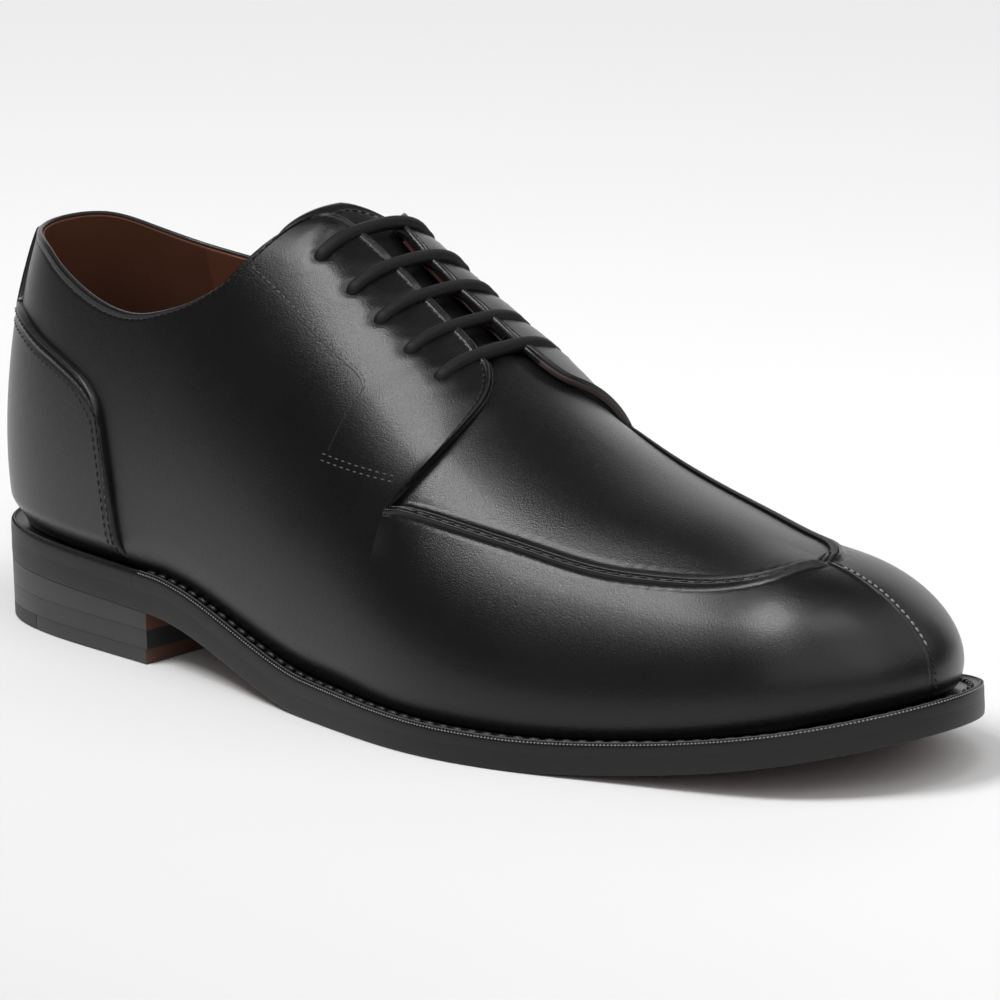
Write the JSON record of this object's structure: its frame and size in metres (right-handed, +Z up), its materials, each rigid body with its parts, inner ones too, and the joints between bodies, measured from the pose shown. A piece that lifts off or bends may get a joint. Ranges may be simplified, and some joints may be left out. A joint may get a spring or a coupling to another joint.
{
  "type": "moc toe derby shoe",
  "caption": "Black leather lace-up derby dress shoe with a raised apron seam, split toe, open flaps over a tongue, welted leather sole and stacked heel.",
  "frame": {"origin": "middle of the bounding box at floor level", "axes": "+X towards the toe, +Y towards the inner side of the right foot, +Z up"},
  "size_m": [0.2948, 0.103, 0.1104],
  "materials": {
    "upper_leather": "polished calf, satin",
    "edge_leather": "inked and burnished edge",
    "welt_leather": "inked, satin",
    "lining_leather": "matt",
    "heel_rubber": "matt",
    "lace_cord": "waxed round cord"
  },
  "bodies": {
    "root": {"upper": "upper_leather", "tongue": "upper_leather", "counter": "upper_leather", "outsole": "edge_leather", "heel_lift_upper": "edge_leather", "heel_lift_lower": "edge_leather", "heel_top_piece": "edge_leather", "heel_rubber_tip": "heel_rubber", "welt": "welt_leather", "heel_rand": "welt_leather", "insole": "lining_leather", "lace_bar_1": "lace_cord", "lace_bar_2": "lace_cord", "lace_bar_3": "lace_cord", "lace_bar_4": "lace_cord", "lace_bar_5": "lace_cord"}
  },
  "joints": []
}
